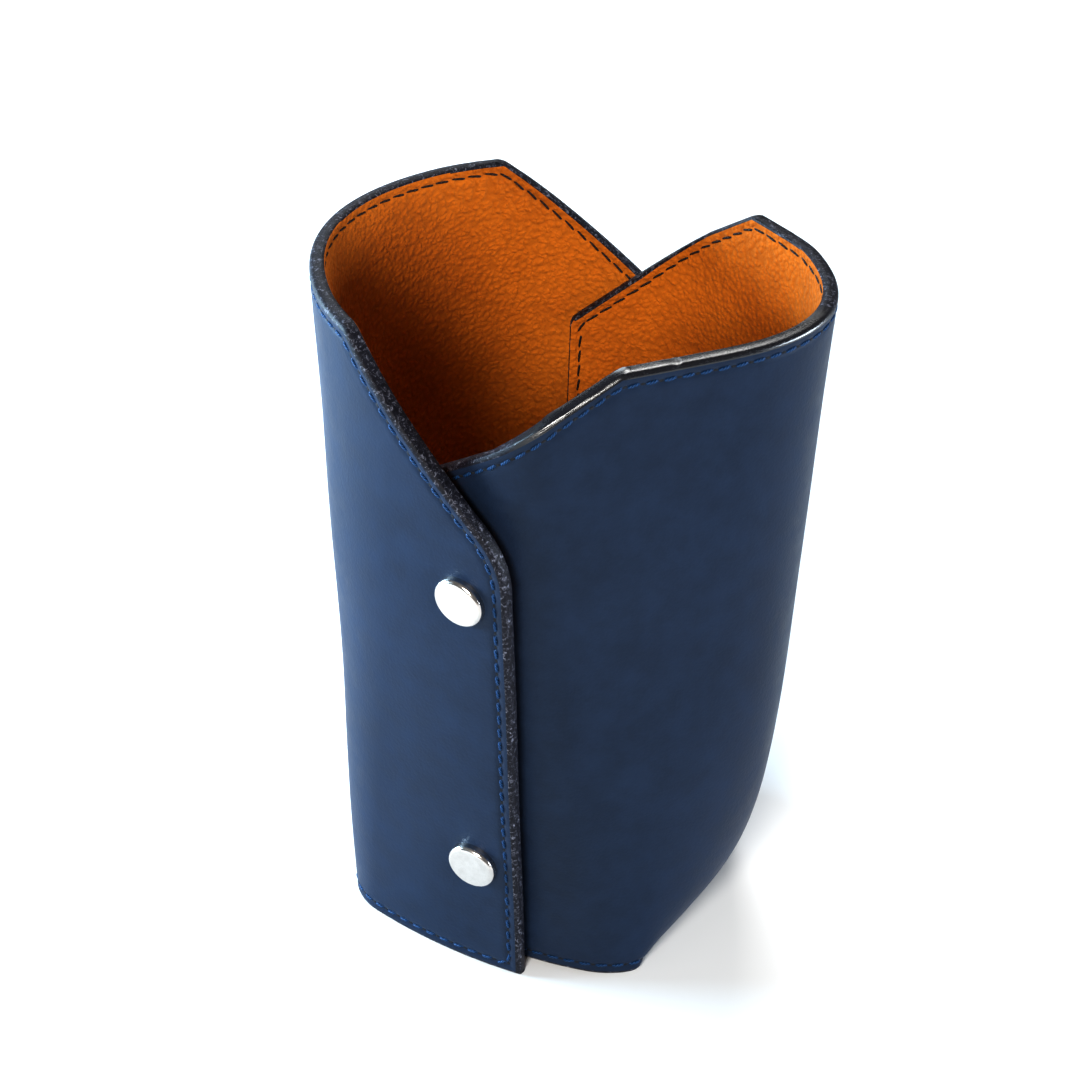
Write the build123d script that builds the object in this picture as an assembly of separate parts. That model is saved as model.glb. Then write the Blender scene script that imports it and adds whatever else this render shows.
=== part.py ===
"""A leather pencil cup: one lined sheet folded up from its base and closed with four snaps.

Lengths are in millimetres and angles in degrees. X runs from the left wall to the right wall, Y from the front
seam to the rear seam and Z upwards.
"""
import os
from math import cos, degrees, exp, radians, sin, sqrt

from build123d import *

# The sheet
height = 130.0
leather_thickness = 1.5
lining_thickness = 1.1
sheet_thickness = leather_thickness + lining_thickness
bend_radius = 6.0
split_angle = 45.0
crease_gap = 0.3
corner_gap = 1.2
flap_gap = 2.0
relief_length = 4.5
relief_height = 8.0

# Left panel seen from above, at the foot and at the rim: the corner where a flap leaves the wall,
# then the two arcs of the flap as radius and turn
left_foot_corner_x = 31.0
left_foot_corner_y = 21.0
left_foot_heading = -65.0
left_foot_radius = 12.0
left_foot_turn = 47.0
left_foot_lap_radius = 100.0
left_foot_lap_turn = 21.0
left_rim_corner_x = 31.0
left_rim_corner_y = 24.2
left_rim_heading = -45.0
left_rim_radius = 55.0
left_rim_turn = 23.0
left_rim_lap_radius = 95.0
left_rim_lap_turn = 14.5

# Right panel seen from above: its flap follows the left flap for a lap, then turns towards the right wall
right_foot_lap_start = -9.4
right_foot_lap_turn = 7.6
right_foot_side_radius = 80.0
right_foot_side_turn = 10.0
right_foot_radius = 20.0
right_foot_turn = 32.0
right_rim_lap_start = -22.0
right_rim_lap_turn = 9.0
right_rim_radius = {"front": 12.0, "rear": 20.0}
right_rim_turns = {"front": 53.0, "rear": 40.0}
right_rim_side_radius = 400.0
right_rim_side_turn = {"front": 3.9, "rear": 3.3}

# How far each wall swells outwards between its corners, and over what height above the base the swelling rises
left_foot_swell = 3.5
left_rim_swell = 10.2
right_foot_swell = 12.2
right_rim_swell = 10.4
left_toe_height = 7.0
right_toe_height = 11.0
bend_rows = 4
wall_rows = 14
wall_columns = 9

# Outline of each flap seen from the front: level rim, slope, upright end
slope_start_x = {"left": {"front": 23.6, "rear": 23.0}, "right": {"front": 21.8, "rear": 25.0}}
slope_start_radius = 3.0
left_end_x = 7.7
left_end_height = {"front": 98.7, "rear": 102.0}
left_end_radius = 16.0
right_end_x = 9.5
right_end_height = {"front": 106.8, "rear": 101.0}
right_end_radius = 1.5
outline_margin = 60.0
trim_margin = 6.0

# Base between the two folds
base_half_depth = 22.0

# Snaps
snap_x = -0.8
snap_heights = {"front": {"upper": 88.0, "lower": 26.3}, "rear": {"upper": 78.0, "lower": 26.3}}
cap_diameter = 9.2
cap_height = 1.7
cap_rim_radius = 0.8
socket_diameter = 8.2
socket_height = 1.3
socket_plate = 0.3
socket_bore = 4.8
stud_flange_diameter = 7.6
stud_flange_height = 0.4
stud_nub_diameter = 4.0
stud_tip_clearance = 0.35
stud_tip_radius = 0.3
post_head_diameter = 8.0
post_head_height = 0.9
post_rim_radius = 0.35
shank_diameter = 3.2
shank_clearance = 0.1
seat_depth = 0.3
seat_clearance = 0.2
drill_length = 12.0


def direction(heading):
    """Unit vector in plan along a heading counted from +X."""
    return Vector(cos(radians(heading)), sin(radians(heading)))


def inward(heading):
    """Unit vector in plan from the outer face towards the inside of the cup."""
    return direction(heading + 90.0)


def row_of_arcs(start, heading, bends, depth):
    """Arcs that follow each other, drawn at a depth below the outer face."""
    point = start + inward(heading) * depth
    arcs = []
    for radius, turn in bends:
        arc = JernArc(point, direction(heading), radius - depth, turn)
        arcs.append(arc)
        point = arc @ 1
        heading += turn
    return arcs


def strip_face(start, heading, bends, depths, level):
    """Plan section of a sheet between two depths, at one height."""
    outer = row_of_arcs(start, heading, bends, depths[0])
    inner = row_of_arcs(start, heading, bends, depths[1])
    near_end = Line(inner[0] @ 0, outer[0] @ 0)
    far_end = Line(outer[-1] @ 1, inner[-1] @ 1)
    face = make_face(Curve() + outer + far_end + inner + near_end)
    return Pos(0, 0, level) * face


def end_of(start, heading, bends):
    """Point and heading where a row of arcs on the outer face ends."""
    arcs = row_of_arcs(start, heading, bends, 0.0)
    return arcs[-1] @ 1, heading + sum(turn for radius, turn in bends)


def lap_start(start, heading, bends, lap_heading):
    """Point on the outer face of the right flap that faces the last arc of the left flap at a heading."""
    corner, corner_heading = end_of(start, heading, bends[:1])
    lap_radius = bends[1][0]
    centre = corner + inward(corner_heading) * lap_radius
    inset = sheet_thickness + flap_gap
    return centre - inward(lap_heading) * (lap_radius - inset)


# Plan of the left panel, which is alike at the front and at the rear
left_foot_start = Vector(-left_foot_corner_x, -left_foot_corner_y)
left_foot_bends = [(left_foot_radius, left_foot_turn), (left_foot_lap_radius, left_foot_lap_turn)]
left_rim_start = Vector(-left_rim_corner_x, -left_rim_corner_y)
left_rim_bends = [(left_rim_radius, left_rim_turn), (left_rim_lap_radius, left_rim_lap_turn)]

# Plan of the right panel, from a seam to the corner
lap_inset = sheet_thickness + flap_gap
right_foot_start = lap_start(left_foot_start, left_foot_heading, left_foot_bends, right_foot_lap_start)
right_foot_bends = [
    (left_foot_lap_radius - lap_inset, right_foot_lap_turn),
    (right_foot_side_radius, right_foot_side_turn),
    (right_foot_radius, right_foot_turn),
]
right_rim_start = lap_start(left_rim_start, left_rim_heading, left_rim_bends, right_rim_lap_start)
right_rim_bends = {}
right_rim_corner = {}
for seam, turn in right_rim_turns.items():
    right_rim_bends[seam] = [
        (left_rim_lap_radius - lap_inset, right_rim_lap_turn),
        (right_rim_radius[seam], turn),
        (right_rim_side_radius, right_rim_side_turn[seam]),
    ]
    right_rim_corner[seam] = end_of(right_rim_start, right_rim_lap_start, right_rim_bends[seam])[0]
right_foot_corner = end_of(right_foot_start, right_foot_lap_start, right_foot_bends)[0]

# Each wall: side, foot corner, rim corners at both seams, and its swelling at the foot, at the rim and at the toe
left_rim_corner = {"front": left_rim_start, "rear": left_rim_start}
left_swelling = (left_foot_swell, left_rim_swell, left_toe_height)
right_swelling = (right_foot_swell, right_rim_swell, right_toe_height)
walls = {
    "left": (-1, left_foot_start, left_rim_corner, left_swelling),
    "right": (1, right_foot_corner, right_rim_corner, right_swelling),
}


def fold_of(foot_corner):
    """Distance of a fold from the middle, and half its length between the relief cuts."""
    return abs(foot_corner.X), abs(foot_corner.Y) - relief_length


def bend_half(side, foot_corner, depths):
    """Lower half of the round bend between the base and a wall."""
    fold_x, fold_half = fold_of(foot_corner)
    centre = (side * (fold_x - bend_radius), bend_radius)
    size = side * (split_angle - degrees(crease_gap / bend_radius) / 2)
    outer = CenterArc(centre, bend_radius - depths[0], -90.0, size)
    inner = CenterArc(centre, bend_radius - depths[1], -90.0, size)
    ends = [Line(inner @ 0, outer @ 0), Line(outer @ 1, inner @ 1)]
    section = Plane.XZ * make_face(Curve() + [outer, inner] + ends)
    return extrude(section, fold_half, both=True)


# The wall starts just above the middle of its bend
wall_start_angle = radians(split_angle) + crease_gap / bend_radius / 2
split_level = bend_radius * (1 - cos(wall_start_angle))


def wall_point(wall, level, across):
    """Point on a wall's outer face. Across runs from -1 at the front corner to 1 at the rear corner."""
    side, foot, rims, (foot_swell, rim_swell, toe_height) = wall
    share = level / height
    front = foot + (rims["front"] - foot) * share
    rear = foot + (rims["rear"] - foot) * share
    rear = Vector(rear.X, -rear.Y)
    point = front + (rear - front) * (across + 1) / 2
    below = max(bend_radius - level, 0.0)
    inset = bend_radius - sqrt(bend_radius**2 - below**2)
    rise = 1 - exp(-(level - split_level) / toe_height)
    swell = (foot_swell + (rim_swell - foot_swell) * share) * rise * (1 - across**2)
    return Vector(point.X + side * (swell - inset), point.Y, level)


def wall_levels():
    """Heights of the rows of points on a wall: evenly round the bend, then further and further apart."""
    bend = radians(90.0) - wall_start_angle
    levels = []
    for row in range(bend_rows):
        levels.append(bend_radius * (1 - cos(wall_start_angle + bend * row / bend_rows)))
    for row in range(wall_rows):
        levels.append(bend_radius + (height + trim_margin - bend_radius) * (row / (wall_rows - 1)) ** 2)
    return levels


def inward_normal(face, point, side):
    """Unit vector at a point of a wall's outer face, towards the inside of the cup."""
    normal = face.normal_at(point)
    return normal if normal.X * side < 0 else normal * -1


def wall_layers(wall):
    """Leather and lining of a wall, from the middle of its bend to the rim."""
    side, foot, rims, swelling = wall
    fold_x, fold_half = fold_of(foot)
    edge = 1 - corner_gap / abs(foot.Y)
    steps = [2 * column / (wall_columns - 1) - 1 for column in range(wall_columns)]
    rows = []
    for level in wall_levels():
        rows.append([wall_point(wall, level, edge * step) for step in steps])
    outer_face = Face.make_surface_from_array_of_points(rows)
    glued_rows = []
    for row in rows:
        glued_rows.append([point + inward_normal(outer_face, point, side) * leather_thickness for point in row])
    glued_face = Face.make_surface_from_array_of_points(glued_rows)
    leather = thicken(outer_face, leather_thickness, normal_override=(-side, 0, 0))
    lining = thicken(glued_face, lining_thickness, normal_override=(-side, 0, 0))
    trim = Pos(0, 0, height / 2) * Box(2 * outline_margin, 2 * outline_margin, height)
    for way in (-1, 1):
        middle = way * (fold_half + outline_margin)
        trim -= Pos(0, middle, 0) * Box(2 * outline_margin, 2 * outline_margin, 2 * relief_height)
    return leather & trim, lining & trim


def base(depths):
    """Flat base with the lower halves of both bends."""
    flat_ends = {}
    bends = Part()
    for name, (side, foot, rims, swelling) in walls.items():
        fold_x, fold_half = fold_of(foot)
        flat_ends[name] = (side * (fold_x - bend_radius), fold_half)
        bends += bend_half(side, foot, depths)
    left_x, left_half = flat_ends["left"]
    right_x, right_half = flat_ends["right"]
    edges = []
    for way in (-1, 1):
        middle = ((left_x + right_x) / 2, way * base_half_depth)
        edges.append(ThreePointArc((left_x, way * left_half), middle, (right_x, way * right_half)))
    edges.append(Line(edges[0] @ 0, edges[1] @ 0))
    edges.append(Line(edges[0] @ 1, edges[1] @ 1))
    flat = extrude(make_face(Curve() + edges), depths[1] - depths[0])
    return Pos(0, 0, depths[0]) * flat + bends


def front_outline(side, start_x, end_x, end_height, end_radius):
    """Block that trims a flap to its outline as seen from the front."""
    points = [
        (side * outline_margin, -outline_margin),
        (side * outline_margin, height),
        (side * start_x, height),
        (-side * end_x, end_height),
        (-side * end_x, -outline_margin),
    ]
    sheet = make_face(Polyline(points, close=True))
    corners = sheet.vertices()
    start = corners.sort_by_distance((*points[2], 0))[0]
    sheet = fillet(start, slope_start_radius)
    end = sheet.vertices().sort_by_distance((*points[3], 0))[0]
    sheet = fillet(end, end_radius)
    return extrude(Plane.XZ * sheet, outline_margin, both=True)


outlines = {}
for seam in ("front", "rear"):
    left_slope = (slope_start_x["left"][seam], left_end_x, left_end_height[seam], left_end_radius)
    right_slope = (slope_start_x["right"][seam], right_end_x, right_end_height[seam], right_end_radius)
    outlines["left", seam] = front_outline(-1, *left_slope)
    outlines["right", seam] = front_outline(1, *right_slope)


def left_flap(seam, depths):
    """Flap of the left panel at one seam, which lies on the outside, drawn at the front."""
    foot = strip_face(left_foot_start, left_foot_heading, left_foot_bends, depths, 0.0)
    rim = strip_face(left_rim_start, left_rim_heading, left_rim_bends, depths, height)
    return loft([foot, rim], ruled=True) & outlines["left", seam]


def right_flap(seam, depths):
    """Flap of the right panel at one seam, which lies on the inside, drawn at the front."""
    foot = strip_face(right_foot_start, right_foot_lap_start, right_foot_bends, depths, 0.0)
    rim = strip_face(right_rim_start, right_rim_lap_start, right_rim_bends[seam], depths, height)
    return loft([foot, rim], ruled=True) & outlines["right", seam]


layers = {"leather": (0.0, leather_thickness), "lining": (leather_thickness, sheet_thickness)}


def along_axis(solid, frame):
    """Where a snap's axis enters and leaves a sheet, counted outwards from the outer face of the left flap."""
    reach = frame.z_dir * outline_margin
    inside = Line(frame.origin + reach, frame.origin - reach) & solid
    heights = [frame.to_local_coords(vertex.center()).Z for vertex in inside.vertices()]
    return max(heights), min(heights)


def snap_frame(solid, level):
    """Frame on the outer face of the left flap, with Z along the snap's axis and outwards."""
    probe = Line((snap_x, 0, level), (snap_x, -outline_margin, level)) & solid
    spot = probe.vertices().sort_by(Axis.Y)[0].center()
    face = solid.faces().sort_by_distance(spot)[0]
    return Plane(origin=spot, x_dir=(0, 0, 1), z_dir=face.normal_at(spot))


def rod(diameter, low, high):
    """Round rod on the snap's axis between two heights."""
    return Pos(0, 0, low) * Cylinder(diameter / 2, high - low, align=(Align.CENTER, Align.CENTER, Align.MIN))


def snap_pieces(left_inner, right_outer, right_inner):
    """The four pieces of a closed snap, and what each sheet loses to them."""
    cap_seat = -seat_depth
    socket_seat = left_inner + seat_depth
    stud_seat = right_outer - seat_depth
    post_seat = right_inner + seat_depth
    plate_face = socket_seat - socket_plate
    socket_face = socket_seat - socket_height
    head = rod(cap_diameter, cap_seat, cap_seat + cap_height)
    head = fillet(head.edges().sort_by(Axis.Z)[-1], cap_rim_radius)
    cap = head + rod(shank_diameter, plate_face, cap_seat)
    hole_diameter = shank_diameter + 2 * shank_clearance
    socket = rod(socket_diameter, socket_face, socket_seat)
    socket -= rod(socket_bore, socket_face, plate_face)
    socket -= rod(hole_diameter, plate_face, socket_seat)
    nub = rod(stud_nub_diameter, stud_seat, plate_face - stud_tip_clearance)
    nub = fillet(nub.edges().sort_by(Axis.Z)[-1], stud_tip_radius)
    stud = nub + rod(stud_flange_diameter, stud_seat, stud_seat + stud_flange_height)
    foot = rod(post_head_diameter, post_seat - post_head_height, post_seat)
    foot = fillet(foot.edges().sort_by(Axis.Z)[0], post_rim_radius)
    post = foot + rod(shank_diameter, post_seat, stud_seat)
    hole = rod(hole_diameter, -drill_length, drill_length)
    spare = 2 * seat_clearance
    cuts = {
        "left_leather": hole + rod(cap_diameter + spare, cap_seat, drill_length),
        "left_lining": hole + rod(socket_diameter + spare, -drill_length, socket_seat),
        "right_leather": hole + rod(stud_flange_diameter + spare, stud_seat, drill_length),
        "right_lining": hole + rod(post_head_diameter + spare, -drill_length, post_seat),
    }
    return {"cap": cap, "socket": socket, "stud": stud, "post": post}, cuts


nodes = {}
for layer, depths in layers.items():
    nodes["base_" + layer] = base(depths)
for name, wall in walls.items():
    nodes[name + "_wall_leather"], nodes[name + "_wall_lining"] = wall_layers(wall)

# Flaps and snaps are drawn at the front, and those of the rear seam are then mirrored
for seam in ("front", "rear"):
    sheets = {}
    for layer, depths in layers.items():
        sheets["left_" + layer] = left_flap(seam, depths)
        sheets["right_" + layer] = right_flap(seam, depths)
    pieces = {}
    placed = []
    for name, level in snap_heights[seam].items():
        frame = snap_frame(sheets["left_leather"], level)
        left_inner = along_axis(sheets["left_lining"], frame)[1]
        right_outer = along_axis(sheets["right_leather"], frame)[0]
        right_inner = along_axis(sheets["right_lining"], frame)[1]
        snap, cuts = snap_pieces(left_inner, right_outer, right_inner)
        placed.append((frame, cuts))
        for piece, shape in snap.items():
            pieces[name + "_snap_" + piece] = frame * shape
    for frame, cuts in placed:
        for sheet, cut in cuts.items():
            sheets[sheet] -= frame * cut
    for sheet, shape in sheets.items():
        side, layer = sheet.split("_")
        pieces[side + "_flap_" + layer] = shape
    for piece, shape in pieces.items():
        name = seam + "_" + piece
        if "flap" in piece:
            name = piece.replace("_flap", "_" + seam + "_flap")
        nodes[name] = mirror(shape, about=Plane.XZ) if seam == "rear" else shape

# The origin is the middle of the whole cup's foot
whole = Compound(children=[Part() + shape for shape in nodes.values()]).bounding_box()
shift = Pos(-whole.center().X, -whole.center().Y, -whole.min.Z)

os.makedirs("parts", exist_ok=True)
for name, shape in nodes.items():
    export_step(shift * shape, "parts/" + name + ".step")
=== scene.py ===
# %% [markdown]
# A pencil cup folded from one lined leather sheet. Two panels rise from a narrow base, overlap at the
# front and at the rear, and are held by four snaps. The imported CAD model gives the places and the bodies.
# This file dresses it: fine sheets with rounded, painted edges, a tan lining, sewn thread and polished
# snaps.

# %% Load the frame
from math import cos, pi, radians, sin

import bpy
import numpy as np
from mathutils import Matrix, Vector, kdtree, noise


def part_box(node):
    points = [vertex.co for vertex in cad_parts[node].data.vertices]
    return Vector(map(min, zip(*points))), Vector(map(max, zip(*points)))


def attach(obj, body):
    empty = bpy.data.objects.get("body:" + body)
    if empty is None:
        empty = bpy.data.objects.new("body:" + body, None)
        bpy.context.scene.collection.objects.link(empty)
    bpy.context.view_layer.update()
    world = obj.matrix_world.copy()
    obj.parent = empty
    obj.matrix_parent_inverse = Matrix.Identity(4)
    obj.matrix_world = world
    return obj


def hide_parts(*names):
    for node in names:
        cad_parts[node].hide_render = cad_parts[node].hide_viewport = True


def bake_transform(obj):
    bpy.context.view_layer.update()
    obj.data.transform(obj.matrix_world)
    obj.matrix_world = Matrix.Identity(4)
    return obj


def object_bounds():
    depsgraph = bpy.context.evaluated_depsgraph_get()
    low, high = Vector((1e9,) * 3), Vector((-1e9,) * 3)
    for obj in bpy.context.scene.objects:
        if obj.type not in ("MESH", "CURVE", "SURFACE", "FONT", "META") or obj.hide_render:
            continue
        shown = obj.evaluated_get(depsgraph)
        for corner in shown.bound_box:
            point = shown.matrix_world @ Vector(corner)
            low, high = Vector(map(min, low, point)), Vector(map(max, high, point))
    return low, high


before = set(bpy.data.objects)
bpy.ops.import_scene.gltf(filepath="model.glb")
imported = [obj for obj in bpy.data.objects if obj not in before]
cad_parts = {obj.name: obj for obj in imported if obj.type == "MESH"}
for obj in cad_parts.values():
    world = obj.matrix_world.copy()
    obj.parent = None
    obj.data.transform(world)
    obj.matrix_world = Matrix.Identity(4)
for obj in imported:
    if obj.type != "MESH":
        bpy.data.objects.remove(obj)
cad_low, cad_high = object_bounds()
MM = 0.001

# %% [markdown]
# The sheet follows one plan line at the foot, where it stands on the table, and another at the rim. Every
# level line between them is a straight mix of the two. Such a sheet could be modelled by hand and bent
# with modifiers, but with a formula every edge, groove and stitch finds its own place. The values are
# those of the CAD model, in millimetres and degrees.

# %% Sizes of the sheet
height = 130.0
leather_thickness = 1.5
sheet_thickness = 2.6
bend_radius = 6.0
split_angle = 45.0
flap_gap = 2.0
toe_softness = 2.0

left_foot = {"start": (-31.0, -21.0), "heading": -65.0, "bends": [(12.0, 47.0), (100.0, 21.0)]}
left_rim = {"start": (-31.0, -24.2), "heading": -45.0, "bends": [(55.0, 23.0), (95.0, 14.5)]}
right_foot_lap_heading = -9.4
right_foot_turns = [7.6, 10.0, 32.0]
right_foot_radii = [80.0, 20.0]
right_rim_lap_heading = -22.0
right_rim_turns = {"front": [9.0, 53.0, 3.9], "rear": [9.0, 40.0, 3.3]}
right_rim_radii = {"front": [12.0, 400.0], "rear": [20.0, 400.0]}
swells = {"left": (3.5, 10.2), "right": (12.2, 10.4)}
toe_heights = {"left": 7.0, "right": 11.0}
slope_start_x = {"left": {"front": 23.6, "rear": 23.0}, "right": {"front": 21.8, "rear": 25.0}}
slope_start_radius = 3.0
end_heights = {"left": {"front": 98.7, "rear": 102.0}, "right": {"front": 106.8, "rear": 101.0}}
end_places = {"left": 7.7, "right": 9.5}
end_radii = {"left": 16.0, "right": 1.5}
base_half_depth = 22.0
relief_length = 4.5
side_of = {"left": -1.0, "right": 1.0}
seams = ("front", "rear")

# %% [markdown]
# A flap's plan line is a chain of arcs that run smoothly into each other, as a bent sheet does. A Bezier
# curve could be drawn by eye, but arcs keep the radii of the real bends, and with as many points at the
# foot as at the rim the two can be mixed.

# %% Plan lines at the foot and at the rim
ARC_SAMPLES = 60


def direction(heading):
    return np.array([cos(radians(heading)), sin(radians(heading))])


def inward(heading):
    return direction(heading + 90.0)


def arc_chain(start, heading, bends):
    """Points along arcs that follow each other, as many on each arc, so that two chains can be mixed."""
    point = np.array(start, float)
    points = [point[None]]
    for radius, turn in bends:
        centre = point + inward(heading) * radius
        angles = np.radians(heading - 90.0 + turn * np.linspace(0.0, 1.0, ARC_SAMPLES)[1:])
        points.append(centre + radius * np.stack([np.cos(angles), np.sin(angles)], 1))
        point = points[-1][-1]
        heading += turn
    return np.concatenate(points)


def right_chain(left, lap_heading, radii, turns):
    """The right flap faces the last arc of the left flap for a lap, then turns away towards its wall."""
    first_turn = left["bends"][0][1]
    lap_radius = left["bends"][1][0]
    corner = arc_chain(left["start"], left["heading"], left["bends"][:1])[-1]
    centre = corner + inward(left["heading"] + first_turn) * lap_radius
    radius = lap_radius - sheet_thickness - flap_gap
    start = centre - inward(lap_heading) * radius
    return arc_chain(start, lap_heading, list(zip([radius, *radii], turns)))


plans = {}
for seam in seams:
    plans["left", seam] = (
        arc_chain(left_foot["start"], left_foot["heading"], left_foot["bends"]),
        arc_chain(left_rim["start"], left_rim["heading"], left_rim["bends"]),
    )
    plans["right", seam] = (
        right_chain(left_foot, right_foot_lap_heading, right_foot_radii, right_foot_turns)[::-1],
        right_chain(left_rim, right_rim_lap_heading, right_rim_radii[seam], right_rim_turns[seam])[::-1],
    )
for key, (foot, rim) in plans.items():
    print(key, "corner at the foot", foot[0].round(2), "and at the rim", rim[0].round(2))

# %% [markdown]
# Seen from the front, each flap is cut by a slope from the level rim down to an upright end. A boolean
# cut would leave ragged cells along it. Here the cut is a function of the height, so every level line
# knows where it has to stop. Both corners of the slope are rounded.

# %% Where a level line stops
FILLET_SAMPLES = 24


def rounded_corner(before, corner, after, radius):
    """Points of the arc that rounds the corner of two straight runs."""
    to_before = (before - corner) / np.linalg.norm(before - corner)
    to_after = (after - corner) / np.linalg.norm(after - corner)
    half = np.arccos(np.clip(to_before @ to_after, -1.0, 1.0)) / 2
    middle = (to_before + to_after) / np.linalg.norm(to_before + to_after)
    centre = corner + middle * radius / np.sin(half)
    first = corner + to_before * radius / np.tan(half) - centre
    last = corner + to_after * radius / np.tan(half) - centre
    turn = np.pi - 2 * half
    steps = np.linspace(0.0, 1.0, FILLET_SAMPLES)[:, None]
    return centre + (np.sin((1 - steps) * turn) * first + np.sin(steps * turn) * last) / np.sin(turn)


def end_line(panel, seam):
    """Height and x of the end of a flap, from the foot to the rim."""
    side = side_of[panel]
    end_x = -side * end_places[panel]
    rim_run = np.array([side * height, height])
    slope_top = np.array([side * slope_start_x[panel][seam], height])
    slope_foot = np.array([end_x, end_heights[panel][seam]])
    end_foot = np.array([end_x, 0.0])
    upper = rounded_corner(rim_run, slope_top, slope_foot, slope_start_radius)
    lower = rounded_corner(slope_top, slope_foot, end_foot, end_radii[panel])
    path = np.concatenate([upper, lower, end_foot[None]])[::-1]
    return path[:, 1], path[:, 0]


end_lines = {(panel, seam): end_line(panel, seam) for panel in side_of for seam in seams}

# %% [markdown]
# A wall swells outwards between its two corners, most at the toe of the right wall, and rolls under into
# the base over a round bend. Near its corners the bend dies out, because there a short slit lets the flap
# stand on its edge.

# %% Level lines of a panel
WALL_SAMPLES = 161
ROW_STEP = 0.25
corner_softness = 2.2
corner_reach = 7.0
split_level = bend_radius * (1 - cos(radians(split_angle)))


def smooth_step(low, high, values):
    t = np.clip((values - low) / (high - low), 0.0, 1.0)
    return t * t * (3 - 2 * t)


def flap_line(panel, seam, level):
    """Level line of a flap from its corner to its end, drawn at the front."""
    foot, rim = plans[panel, seam]
    line = foot + (rim - foot) * level / height
    travel = -side_of[panel] * line[:, 0]
    stop = -side_of[panel] * np.interp(level, *end_lines[panel, seam])
    spots = np.arange(len(line))
    last = np.interp(stop, travel, spots)
    kept = line[spots < last - 1e-6]
    end = [np.interp(last, spots, line[:, axis]) for axis in (0, 1)]
    return np.concatenate([kept, [end]])


def wall_line(panel, level):
    """Level line of a wall from its front corner to its rear corner."""
    side = side_of[panel]
    share = level / height
    foot_swell, rim_swell = swells[panel]
    across = np.linspace(-1.0, 1.0, WALL_SAMPLES)
    corners = []
    for seam in seams:
        foot, rim = plans[panel, seam]
        corners.append(foot[0] + (rim[0] - foot[0]) * share)
    front, rear = corners[0], corners[1] * (1, -1)
    line = front + (rear - front) * (across[:, None] + 1) / 2
    below = max(bend_radius - level, 0.0)
    inset = bend_radius - np.sqrt(bend_radius**2 - below**2)
    slit = 1 - relief_length / abs(plans[panel, "front"][0][0, 1])
    inset = inset * (1 - smooth_step(slit, 1.0, np.abs(across)))
    above = level - split_level
    rise = 1 - np.exp(-(above + np.hypot(above, toe_softness)) / 2 / toe_heights[panel])
    swell = (foot_swell + (rim_swell - foot_swell) * share) * rise * (1 - across**2)
    line[:, 0] += side * (swell - inset)
    return line


def lengths_along(line):
    return np.concatenate([[0.0], np.cumsum(np.linalg.norm(np.diff(line, axis=0), axis=1))])


def along(line, places):
    """Points at given lengths along a line."""
    lengths = lengths_along(line)
    return np.stack([np.interp(places, lengths, line[:, axis]) for axis in range(line.shape[1])], -1)


def softened(line, corners):
    """The line with its two corners eased into each other, as leather does."""
    reach = int(3 * corner_softness / ROW_STEP)
    offsets = np.arange(-reach, reach + 1)
    kernel = np.exp(-0.5 * (offsets * ROW_STEP / corner_softness) ** 2)
    kernel /= kernel.sum()
    before = line[0] + (line[0] - line[1]) * np.arange(reach, 0, -1)[:, None]
    after = line[-1] + (line[-1] - line[-2]) * np.arange(1, reach + 1)[:, None]
    padded = np.concatenate([before, line, after])
    smooth = np.stack([np.convolve(padded[:, axis], kernel, "valid") for axis in (0, 1)], 1)
    places = np.arange(len(line)) * ROW_STEP
    share = sum(np.exp(-(((places - corner) / corner_reach) ** 4)) for corner in corners)
    return line + (smooth - line) * np.clip(share, 0.0, 1.0)[:, None]


def level_line(panel, level):
    """A panel's level line from its front end to its rear end, and where its two corners are along it."""
    front = flap_line(panel, "front", level)[::-1]
    rear = flap_line(panel, "rear", level) * (1, -1)
    line = np.concatenate([front, wall_line(panel, level)[1:-1], rear])
    lengths = lengths_along(line)
    corners = lengths[len(front) - 1], lengths[-len(rear)]
    steps = int(round(lengths[-1] / ROW_STEP))
    even = along(line, np.linspace(0.0, lengths[-1], steps + 1))
    spots = np.array(corners) / lengths[-1] * steps
    even = softened(even, corners)
    front_corner, rear_corner = np.interp(spots, np.arange(steps + 1), lengths_along(even))
    return even, front_corner, rear_corner


rim_line = level_line("left", height)[0]
print("length round the rim:", round(lengths_along(rim_line)[-1], 1), "mm on the left panel")

# %% [markdown]
# A grid of points lies on each panel. Its lines crowd together near the edges, where the edge is rounded
# and the thread pulls a groove, and are wide apart in the middle. Points stay on level lines, so the grid
# follows every edge of the sheet without being cut.

# %% The grid of a panel
edge_radii = {"outer": 0.9, "inner": 0.45}
stitch_insets = {"outer": 2.3, "inner": 1.9}
cut_width = 0.15
spill_width = 0.5
edge_steps = [0.0, 0.05, cut_width, 0.3, spill_width, 0.7, edge_radii["outer"]]
groove_steps = [1.2, 1.45, 1.7, 1.9, 2.1, 2.3, 2.52, 2.75, 3.05, 3.5, 4.2, 5.2]
border = np.array(edge_steps + groove_steps)
RING = len(edge_steps) - 1
CUT_RING = edge_steps.index(cut_width)
SPILL_RING = edge_steps.index(spill_width)
seam_lines = {side: RING + groove_steps.index(inset) + 1 for side, inset in stitch_insets.items()}
middle_step = 0.85
FLAP_COLUMNS = 46
WALL_COLUMNS = 58
largest_stretch = 1.6
border_share = 0.6


def level_list():
    inner = np.arange(border[-1], height - border[-1], middle_step)[1:]
    return np.concatenate([border, inner, height - border[::-1]])


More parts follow.
